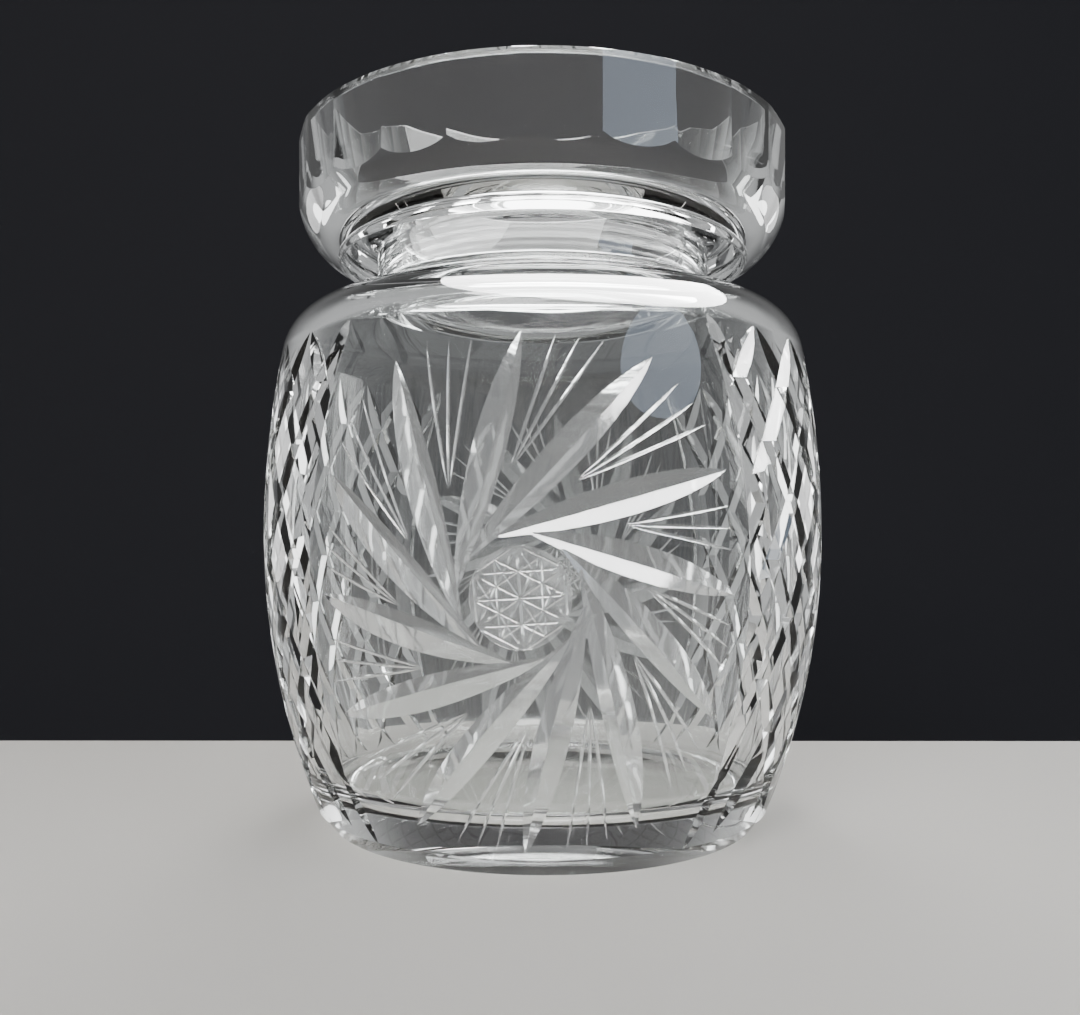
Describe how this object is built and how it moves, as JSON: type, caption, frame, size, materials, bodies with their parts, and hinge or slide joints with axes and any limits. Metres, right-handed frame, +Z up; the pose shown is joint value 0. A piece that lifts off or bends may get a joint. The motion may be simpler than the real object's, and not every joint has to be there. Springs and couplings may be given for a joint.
{
  "type": "cut crystal vase",
  "caption": "Barrel-shaped clear cut-crystal vase with pinwheel and diamond-lattice cutting, a plain shoulder, a grooved neck and a bulging panelled collar.",
  "frame": {"origin": "centre of the underside, on the surface that the vase stands on", "axes": "+Z up along the vase's axis of revolution, -Y towards the front pinwheel, +X towards the right diamond column"},
  "size_m": [0.1644, 0.1644, 0.2],
  "materials": {
    "lead_crystal": "polished clear lead crystal with acid-polished cuts"
  },
  "bodies": {
    "root": {"base": "lead_crystal", "front_pinwheel_panel": "lead_crystal", "right_diamond_column": "lead_crystal", "back_pinwheel_panel": "lead_crystal", "left_diamond_column": "lead_crystal", "shoulder": "lead_crystal", "neck": "lead_crystal", "collar": "lead_crystal"}
  },
  "joints": []
}
